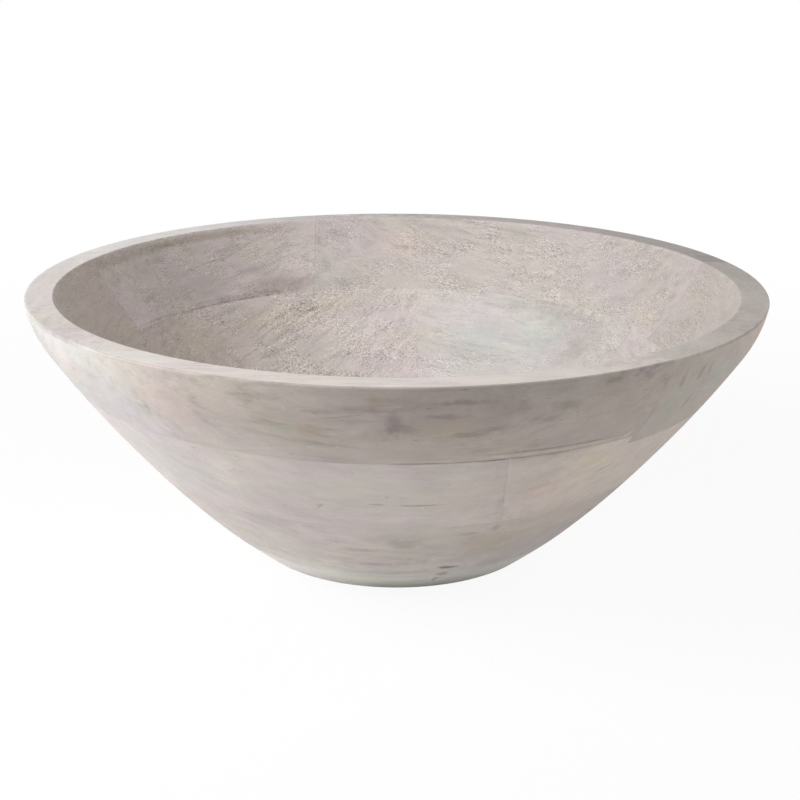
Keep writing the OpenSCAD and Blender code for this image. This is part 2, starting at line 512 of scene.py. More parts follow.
def turned_columns(bm, layers, loop, low, high, cuts):
    """Points of the loop at each step round the bowl; a point on the axis is shared by all steps."""
    columns, poles = [], {}
    for t in range(round(2 * math.pi / TURN_STEP)):
        column = []
        for i, point in enumerate(loop):
            r, z = section_point(point, t * TURN_STEP, low, high)
            if r < WELD and i in poles:
                column.append(poles[i])
                continue
            az = snapped(t * TURN_STEP, r, cuts)
            on_floor = r < WELD and high > FLOOR_T and z > low
            hollow = 1 if point[0] == "in" or on_floor else 0
            at = (r * math.sin(az), -r * math.cos(az), z)
            column.append(new_vert(bm, at, layers, (hollow, 0, 0, seam_share(point, az, low, high, False))))
            if r < WELD:
                poles[i] = column[-1]
        columns.append(column)
    return columns


def snapped(az, r, cuts):
    """Azimuth moved onto a flat cut that passes close by, so that no sliver is left beside it."""
    for at in cuts:
        if abs(at) < r:
            turn = math.acos(-at / r)
            for target in (turn, 2 * math.pi - turn):
                if abs(az - target) < SNAP:
                    return target
    return az


def cut_flat(bm, at, keep, seam):
    """Cuts the solid square to y, closes the cut and takes its edge off."""
    geom = [*bm.verts, *bm.edges, *bm.faces]
    bmesh.ops.bisect_plane(bm, geom=geom, dist=ON_PLANE, plane_co=(0, at, 0), plane_no=(0, -keep, 0),
                           clear_outer=True)
    rim = [e for e in bm.edges if len(e.link_faces) == 1]
    bmesh.ops.holes_fill(bm, edges=rim, sides=0)
    for e in rim:
        for v in e.verts:
            v[seam] = BUTT_SEAM
    bmesh.ops.bevel(bm, geom=rim, offset=BUTT, segments=1, profile=0.5, affect="EDGES", clamp_overlap=True)


# Nodes
def link_or_set(tree, socket, value):
    if isinstance(value, bpy.types.NodeSocket):
        tree.links.new(value, socket)
    else:
        socket.default_value = value


def add(tree, kind, inputs=None, **settings):
    """New node with its settings; an input is a socket to link or a value to set."""
    node = tree.nodes.new(kind)
    for name, value in settings.items():
        setattr(node, name, value)
    for name, value in (inputs or {}).items():
        link_or_set(tree, node.inputs[name], value)
    return node


def calc(tree, operation, a, b):
    return add(tree, "ShaderNodeMath", {0: a, 1: b}, operation=operation).outputs[0]


def times(tree, product, *factors):
    for factor in factors:
        product = calc(tree, "MULTIPLY", product, factor)
    return product


def plus(tree, total, value, share):
    """Total plus a share of a value."""
    return add(tree, "ShaderNodeMath", {0: value, 1: share, 2: total}, operation="MULTIPLY_ADD").outputs[0]


def summed(tree, total, parts, shares):
    """Total plus a share of each named part."""
    for name, share in shares.items():
        total = plus(tree, total, parts[name], share)
    return total


def remap(tree, value, low, high, to_low=0.0, to_high=1.0, ease="LINEAR"):
    ends = {"Value": value, "From Min": low, "From Max": high, "To Min": to_low, "To Max": to_high}
    return add(tree, "ShaderNodeMapRange", ends, interpolation_type=ease).outputs["Result"]


def blend(tree, share, a, b, how="MIX"):
    """Colour a turned into b, or multiplied by it, by a share."""
    mixed = add(tree, "ShaderNodeMix", data_type="RGBA", blend_type=how)
    for socket, value in ((0, share), (6, a), (7, b)):
        link_or_set(tree, mixed.inputs[socket], value)
    return mixed.outputs[2]


def drawn_out(tree, along, stretch, shift):
    """Coordinates drawn out along the grain, and moved to keep patterns apart."""
    return add(tree, "ShaderNodeVectorMath", {0: along, 1: (1 / stretch, 1, 1), 2: shift},
               operation="MULTIPLY_ADD").outputs[0]


def length_of(tree, vector):
    return add(tree, "ShaderNodeVectorMath", {0: vector}, operation="LENGTH").outputs["Value"]


def surface_value(tree, name):
    return add(tree, "ShaderNodeAttribute", attribute_name=name).outputs["Fac"]


def node_group(name, inputs, outputs):
    group = bpy.data.node_groups.new(name, "ShaderNodeTree")
    for label, kind in inputs.items():
        group.interface.new_socket(label, in_out="INPUT", socket_type="NodeSocket" + kind)
    for label, kind in outputs.items():
        group.interface.new_socket(label, in_out="OUTPUT", socket_type="NodeSocket" + kind)
    return group


# Wood
OLIVE_TINT = (0.999, 1.009, 0.952, 1)
MAUVE_TINT = (1.006, 0.985, 0.990, 1)
SEAM_BROWN = (0.130, 0.105, 0.085, 1)
SEAM_EASE = 2.5
SEAM_STAIN = 0.75

# Noise patterns: width of the spots, how far they are drawn out, detail, shift, and the two noise levels that
# become the pattern's start and end. The wash runs on over the joints; the grain is each plank's own
Pattern = namedtuple("Pattern", "width stretch detail shift low high start end", defaults=(0, 1))
NOISE_ROUGH = 0.55
WASH_PATTERNS = {
    "cloud": Pattern(36 * MM, 1.6, 4, 0.31, 0.30, 0.70, -1, 1),
    "tint": Pattern(26 * MM, 1.7, 4, 0.77, 0.40, 0.60),
    "patch": Pattern(15 * MM, 1.5, 5, 2.33, 0.40, 0.58, 0.12, 1),
}
GRAIN_PATTERNS = {
    "blotch": Pattern(6 * MM, 3.0, 4, 1.13, 0.32, 0.68, -1, 1),
    "gathered": Pattern(40 * MM, 2.4, 2, 1.37, 0.40, 0.58),
    "streak": Pattern(4.5 * MM, 8, 5, 1.57, 0.50, 0.72),
    "fibre": Pattern(1.0 * MM, 9, 3, 1.91, 0.30, 0.70, -1, 1),
    "fleck": Pattern(1.5 * MM, 1.8, 1, 2.17, 0.70, 0.80),
    "tick": Pattern(1.2 * MM, 4.0, 1, 2.53, 0.69, 0.78),
}
RIM_STREAKS = 0.35
RING_WIDTH = 1.3 * MM
RING_DETAIL = 2

# Pores: their spacing, shape and reach, where their pale lips lie, and how far they stand open on the outside
# and on the flat rim
PORE_SPACING = 0.52 * MM
PORE_STRETCH = 3.0
PORE_FULL = 0.20
PORE_END = 0.46
LIP_LIFT = 0.5
OUTSIDE_PORES = 0.10
RIM_PORES = 0.1

# What each part adds to the tone of the wood, to its roughness and to its height
TONES = {"cloud": 0.065, "blotch": 0.056, "streak": -0.20, "fleck": 0.16, "tick": -0.22, "pore": -0.50,
         "lip": 0.40, "edge": 0.04}
FIBRE_TONE = 0.030
OPEN_FIBRE_TONE = 0.09
ROUGH = 0.62
ROUGHS = {"cloud": 0.05, "pore": 0.20, "seam": 0.15}
HEIGHT = 0.5
HEIGHTS = {"fibre": 0.10, "ring": 0.20, "streak": -0.10, "pore": -0.45}
BUMP_STRENGTH = 0.35
BUMP_DEPTH = 0.2 * MM
SPECULAR = 0.30

# Marks: their ragged edge, and how far from the middle, in half sizes, they are full and end
RAGGED_WIDTH = 5 * MM
RAGGED_SHARE = 1.8
RAGGED_DETAIL = 5
RAGGED_ROUGH = 0.65
MARK_FULL = 0.25
MARK_END = 1.15


def pattern(tree, along, look):
    spots = {"Vector": drawn_out(tree, along, look.stretch, (look.shift,) * 3), "Scale": 1 / look.width,
             "Detail": look.detail, "Roughness": NOISE_ROUGH}
    noise = add(tree, "ShaderNodeTexNoise", spots).outputs["Fac"]
    return remap(tree, noise, look.low, look.high, look.start, look.end)


def pores(tree, grain, lift, opened):
    """Pores, drawn out along the grain, or their lips a little to one side."""
    at = drawn_out(tree, grain, PORE_STRETCH, (0, 0, lift * PORE_SPACING))
    cells = {"Vector": at, "Scale": 1 / PORE_SPACING, "Randomness": 1.0}
    away = add(tree, "ShaderNodeTexVoronoi", cells).outputs["Distance"]
    return times(tree, remap(tree, away, PORE_FULL, PORE_END, 1, 0), opened)


def turning_rings(tree, place):
    """Fine rings that the lathe tool left."""
    height = add(tree, "ShaderNodeSeparateXYZ", {0: place}).outputs["Z"]
    rings = {"W": height, "Scale": 1 / RING_WIDTH, "Detail": RING_DETAIL}
    return add(tree, "ShaderNodeTexNoise", rings, noise_dimensions="1D").outputs["Fac"]


def wood_parts(tree, given):
    """Patterns, pores and surface values that make up the wood."""
    parts = {name: surface_value(tree, name) for name in SURFACE_VALUES}
    parts |= {name: pattern(tree, given["Place"], look) for name, look in WASH_PATTERNS.items()}
    parts |= {name: pattern(tree, given["Grain"], look) for name, look in GRAIN_PATTERNS.items()}
    parts["streak"] = times(tree, parts["streak"], parts["gathered"], given["Streaks"],
                            remap(tree, parts["rim"], 0, 1, 1, RIM_STREAKS))
    parts["ring"] = turning_rings(tree, given["Place"])
    opened = times(tree, parts["patch"], remap(tree, parts["hollow"], 0, 1, OUTSIDE_PORES, 1), given["Pores"],
                   remap(tree, parts["rim"], 0, 1, 1, RIM_PORES))
    parts["opened"] = opened
    parts["pore"] = pores(tree, given["Grain"], 0, opened)
    parts["lip"] = pores(tree, given["Grain"], LIP_LIFT, opened)
    return parts


def wood_colour(tree, given, parts):
    tone = summed(tree, 1.0, parts, TONES)
    tone = plus(tree, tone, parts["fibre"], plus(tree, FIBRE_TONE, parts["opened"], OPEN_FIBRE_TONE))
    colour = blend(tree, parts["hollow"], given["Outside"], given["Inside"])
    colour = blend(tree, parts["rim"], colour, given["Top"])
    colour = blend(tree, 1.0, colour, blend(tree, parts["tint"], OLIVE_TINT, MAUVE_TINT), "MULTIPLY")
    colour = add(tree, "ShaderNodeVectorMath", {0: colour, "Scale": tone}, operation="SCALE").outputs[0]
    stain = times(tree, calc(tree, "POWER", parts["seam"], SEAM_EASE), SEAM_STAIN)
    return blend(tree, stain, colour, SEAM_BROWN)


def washed_wood_group():
    """Wood under a thin pale wash. Clouds and tints of the wash run on over the joints; streaks, fibres and
    pores follow the grain, and the pores show most in the hollow, where the grain was cut across."""
    inputs = {"Place": "Vector", "Grain": "Vector", "Outside": "Color", "Inside": "Color", "Top": "Color",
              "Streaks": "Float", "Pores": "Float"}
    tree = node_group("washed_wood", inputs, {"Color": "Color", "Roughness": "Float", "Height": "Float"})
    given = add(tree, "NodeGroupInput").outputs
    parts = wood_parts(tree, given)
    add(tree, "NodeGroupOutput", {"Color": wood_colour(tree, given, parts),
                                  "Roughness": summed(tree, ROUGH, parts, ROUGHS),
                                  "Height": summed(tree, HEIGHT, parts, HEIGHTS)})
    return tree


def turned_back(tree, vector, angle):
    return add(tree, "ShaderNodeVectorRotate", {"Vector": vector, "Angle": angle}, rotation_type="Z_AXIS",
               invert=True).outputs[0]


def mark_group():
    """Soft spot on the turned surface, at an azimuth and a height, outside (0) or in the hollow (1)."""
    tree = node_group("mark", {"Place": "Vector", "Azimuth": "Float", "Height": "Float", "Tilt": "Float",
                               "Size": "Vector", "Hollow": "Float"}, {"Share": "Float"})
    given = add(tree, "NodeGroupInput").outputs
    facing = turned_back(tree, given["Place"], given["Azimuth"])
    x, y, z = add(tree, "ShaderNodeSeparateXYZ", {0: facing}).outputs
    out = add(tree, "ShaderNodeVectorMath", {0: given["Place"], 1: (1, 1, 0)}, operation="MULTIPLY")
    turn = calc(tree, "ARCTAN2", x, times(tree, y, -1))
    flat = add(tree, "ShaderNodeCombineXYZ", {"X": times(tree, turn, length_of(tree, out.outputs[0])),
                                              "Y": calc(tree, "SUBTRACT", z, given["Height"])}).outputs[0]
    sized = add(tree, "ShaderNodeVectorMath", {0: turned_back(tree, flat, given["Tilt"]), 1: given["Size"]},
                operation="DIVIDE").outputs[0]
    spots = {"Vector": given["Place"], "Scale": 1 / RAGGED_WIDTH, "Detail": RAGGED_DETAIL,
             "Roughness": RAGGED_ROUGH}
    ragged = add(tree, "ShaderNodeTexNoise", spots).outputs["Fac"]
    away = calc(tree, "SUBTRACT", length_of(tree, sized), RAGGED_SHARE / 2)
    share = remap(tree, plus(tree, away, ragged, RAGGED_SHARE), MARK_FULL, MARK_END, 1, 0, "SMOOTHSTEP")
    side = add(tree, "ShaderNodeMath", {0: surface_value(tree, "hollow"), 1: given["Hollow"], 2: 0.5},
               operation="COMPARE").outputs[0]
    add(tree, "NodeGroupOutput", {"Share": times(tree, share, side)})
    return tree


WASHED_WOOD = washed_wood_group()
MARK = mark_group()


def wood(name, look, marks):
    """Material of one block or board: its grain, its tones, and the marks that it carries, a few of them
    painted light and shade.
    """
    material = bpy.data.materials.new(name)
    material.use_nodes = True
    tree = material.node_tree
    place = add(tree, "ShaderNodeTexCoord").outputs["Object"]
    along = add(tree, "ShaderNodeMapping", {"Vector": place, "Location": (look["seed"], 0, 0),
                                            "Rotation": (0, -look["rise"] * DEG, look["grain"] * DEG)},
                vector_type="TEXTURE")
    given = {"Place": place, "Grain": along.outputs[0], "Outside": (*look["outside"], 1),
             "Inside": (*look["inside"], 1), "Top": (*look["top"], 1), "Streaks": look["streaks"],
             "Pores": pores_left(tree, place, look["pores"])}
    washed = add(tree, "ShaderNodeGroup", given, node_tree=WASHED_WOOD).outputs
    colour = washed["Color"]
    for mark in marks:
        colour = blend(tree, mark_share(tree, place, mark), colour, (*mark.tone, 1), "MULTIPLY")
    bump = add(tree, "ShaderNodeBump", {"Height": washed["Height"], "Strength": BUMP_STRENGTH,
                                        "Distance": BUMP_DEPTH})
    shader = tree.nodes["Principled BSDF"]
    shader.inputs["Specular IOR Level"].default_value = SPECULAR
    tree.links.new(colour, shader.inputs["Base Color"])
    tree.links.new(washed["Roughness"], shader.inputs["Roughness"])
    tree.links.new(bump.outputs[0], shader.inputs["Normal"])
    return material


def mark_share(tree, place, mark):
    given = {"Place": place, "Azimuth": mark.az * DEG, "Height": mark.z * MM, "Tilt": mark.tilt * DEG,
             "Size": (mark.length * MM, mark.width * MM, 1), "Hollow": mark.hollow}
    return add(tree, "ShaderNodeGroup", given, node_tree=MARK).outputs[0]


def pores_left(tree, place, pores_open):
    """How far the pores stand open, less where the wash has filled them."""
    for zone in FILLED:
        pores_open = times(tree, pores_open, remap(tree, mark_share(tree, place, zone), 0, 1, 1, zone.tone))
    return pores_open


# Pieces
FRONT_LEFT = Joint("y", RIM_FRONT_Y, -1)
FRONT_RIGHT = Joint("ring", RIM_RIGHT_AZ, 1)
BACK_RIGHT = Joint("y", RIM_BACK_Y, 1)
BACK_LEFT = Joint("y", RIM_BACK_Y, -1)
BACK = Joint("x", RIM_BACK_X, 1)
RIM_BLOCKS = {
    "rim_block_front": (WALL_TOP, FRONT_LEFT, FRONT_RIGHT),
    "rim_block_right": (RIGHT_LOW, FRONT_RIGHT, BACK_RIGHT),
    "rim_block_back": (WALL_TOP, BACK_RIGHT, BACK),
    "rim_block_back_left": (WALL_TOP, BACK, BACK_LEFT),
    "rim_block_left": (WALL_TOP, BACK_LEFT, FRONT_LEFT),
}
WALL_LEFT = Joint("y", WALL_FRONT_Y, -1)
WALL_RIGHT = Joint("y", WALL_FRONT_Y, 1)
WALL_FRONT = Joint("x", WALL_FRONT_X, -1)
WALL_BACK_RIGHT = Joint("y", WALL_BACK_Y, 1)
WALL_BACK_LEFT = Joint("y", WALL_BACK_Y, -1)
WALL_BACK = Joint("x", WALL_BACK_X, 1)
WALL_BLOCKS = {
    "wall_block_front": (WALL_LEFT, WALL_FRONT, None),
    "wall_block_front_right": (WALL_FRONT, WALL_RIGHT, Step(FRONT_RIGHT, RIGHT_LOW, 1)),
    "wall_block_back_right": (WALL_RIGHT, WALL_BACK_RIGHT, Step(BACK_RIGHT, RIGHT_LOW, -1)),
    "wall_block_back": (WALL_BACK_RIGHT, WALL_BACK, None),
    "wall_block_back_left": (WALL_BACK, WALL_BACK_LEFT, None),
    "wall_block_left": (WALL_BACK_LEFT, WALL_LEFT, None),
}
BOARDS = {
    "bottom_board_front": (BASE_TOP, BOTTOM_TOP, -RIM_R, -BOTTOM_JOINT_Y),
    "bottom_board_middle": (BASE_TOP, BOTTOM_TOP, -BOTTOM_JOINT_Y, BOTTOM_JOINT_Y),
    "bottom_board_back": (BASE_TOP, BOTTOM_TOP, BOTTOM_JOINT_Y, RIM_R),
    "base_board_front": (0, BASE_TOP, -RIM_R, -BASE_JOINT_Y),
    "base_board_middle": (0, BASE_TOP, -BASE_JOINT_Y, BASE_JOINT_Y),
    "base_board_back": (0, BASE_TOP, BASE_JOINT_Y, RIM_R),
}


def make_pieces():
    pieces = {}
    for node, (low, start, end) in RIM_BLOCKS.items():
        sections = ring_sections(rim_loop(low), low, BOWL_H, start, end)
        pieces[node] = ring_mesh(node + "_turned", sections)
    for node, (start, end, step) in WALL_BLOCKS.items():
        loop = course_loop(BOTTOM_TOP, WALL_TOP, step.seat if step else None)
        sections = ring_sections(loop, BOTTOM_TOP, WALL_TOP, start, end, step)
        pieces[node] = ring_mesh(node + "_turned", sections)
    for node, (low, high, near, far) in BOARDS.items():
        pieces[node] = board_mesh(node + "_turned", low, high, near, far)
    return pieces


# Looks of the planks where they aren't plain: grain in plan and its rise, in degrees, and washed tones
PLAIN = {"grain": 0, "rise": 0, "seed": 0, "outside": (0.57, 0.52, 0.49), "inside": (0.58, 0.54, 0.51),
         "top": (0.62, 0.58, 0.56), "streaks": 1.0, "pores": 1.0}
LOOKS = {
    "rim_block_front": {"rise": 1, "seed": 0.1, "outside": (0.515, 0.458, 0.427),
                        "top": (0.74, 0.68, 0.655), "streaks": 1.5},
    "rim_block_right": {"grain": 90, "rise": 3, "seed": 0.7, "outside": (0.538, 0.486, 0.452),
                        "streaks": 0.3, "inside": (0.523, 0.475, 0.458), "top": (0.475, 0.435, 0.415)},
    "rim_block_back": {"grain": 155, "rise": 4, "seed": 1.9, "inside": (0.585, 0.535, 0.52),
                       "top": (0.385, 0.345, 0.34), "pores": 1.4},
    "rim_block_back_left": {"grain": 45, "rise": 5, "seed": 2.6, "inside": (0.61, 0.545, 0.53),
                            "top": (0.71, 0.68, 0.67)},
    "rim_block_left": {"grain": 90, "rise": -2, "seed": 3.2, "outside": (0.528, 0.505, 0.502),
                       "inside": (0.555, 0.49, 0.455), "top": (0.62, 0.575, 0.56)},
    "wall_block_front": {"rise": -1, "seed": 4.1, "outside": (0.605, 0.55, 0.535), "streaks": 0.4},
    "wall_block_front_right": {"rise": 3, "seed": 5.3, "outside": (0.715, 0.632, 0.585), "streaks": 0.5},
    "wall_block_back_right": {"grain": 90, "rise": 2, "seed": 6.4, "outside": (0.63, 0.565, 0.53),
                              "inside": (0.61, 0.555, 0.54)},
    "wall_block_back": {"grain": 155, "rise": 2, "seed": 7.2, "inside": (0.64, 0.607, 0.597)},
    "wall_block_back_left": {"grain": 46, "rise": 15, "seed": 8.5, "inside": (0.635, 0.575, 0.56),
                             "pores": 1.3},
    "wall_block_left": {"grain": 90, "rise": -2, "seed": 9.7, "inside": (0.545, 0.48, 0.45)},
    "bottom_board_front": {"rise": 1, "seed": 10.4, "outside": (0.58, 0.525, 0.507)},
    "bottom_board_middle": {"seed": 11.8},
    "bottom_board_back": {"rise": -1, "seed": 12.5},
    # The outside tones of the base boards are lightened with painted light from the floor, over their own
    # washed tone
    "base_board_front": {"rise": 1, "seed": 13.1, "outside": (0.79, 0.775, 0.74)},
    "base_board_middle": {"seed": 14.9, "outside": (0.73, 0.71, 0.675)},
    "base_board_back": {"rise": -1, "seed": 15.6, "outside": (0.75, 0.73, 0.695)},
}

# Tones that a mark multiplies into the wood
DARK = (0.80, 0.78, 0.77)
SHADE = (0.87, 0.86, 0.86)
FAINT = (0.93, 0.92, 0.93)
LINE = (0.72, 0.69, 0.68)
PALE = (1.07, 1.07, 1.06)
BRIGHT = (1.22, 1.20, 1.13)
YELLOW = (1.03, 1.02, 0.94)
GREEN = (0.94, 0.99, 0.96)
BLUE = (0.95, 1.01, 1.01)
PINK = (1.04, 0.99, 0.98)
BROWN = (0.95, 0.89, 0.80)
MOSS = (0.79, 0.80, 0.73)
TAR = (0.64, 0.60, 0.52)
PITCH = (0.42, 0.37, 0.31)

# Mark: azimuth and height of its middle, half sizes and tilt, in degrees and mm; in the hollow (1) or not (0)
Mark = namedtuple("Mark", "az z length width tilt tone hollow")
TOP_SPOT_RISE = 0.3
TOP_SPOT_WIDTH = 0.9


def spot(az, z, length, width, tone, tilt=0):
    """Mark on the outside."""
    return Mark(az, z, length, width, tilt, tone, 0)


def in_spot(az, z, length, width, tone, tilt=0):
    """Mark in the hollow."""
    return Mark(az, z, length, width, tilt, tone, 1)


def top_spot(az, length, tone):
    """Mark on the flat rim alone."""
    return spot(az, BOWL_H / MM + TOP_SPOT_RISE, length, TOP_SPOT_WIDTH, tone)
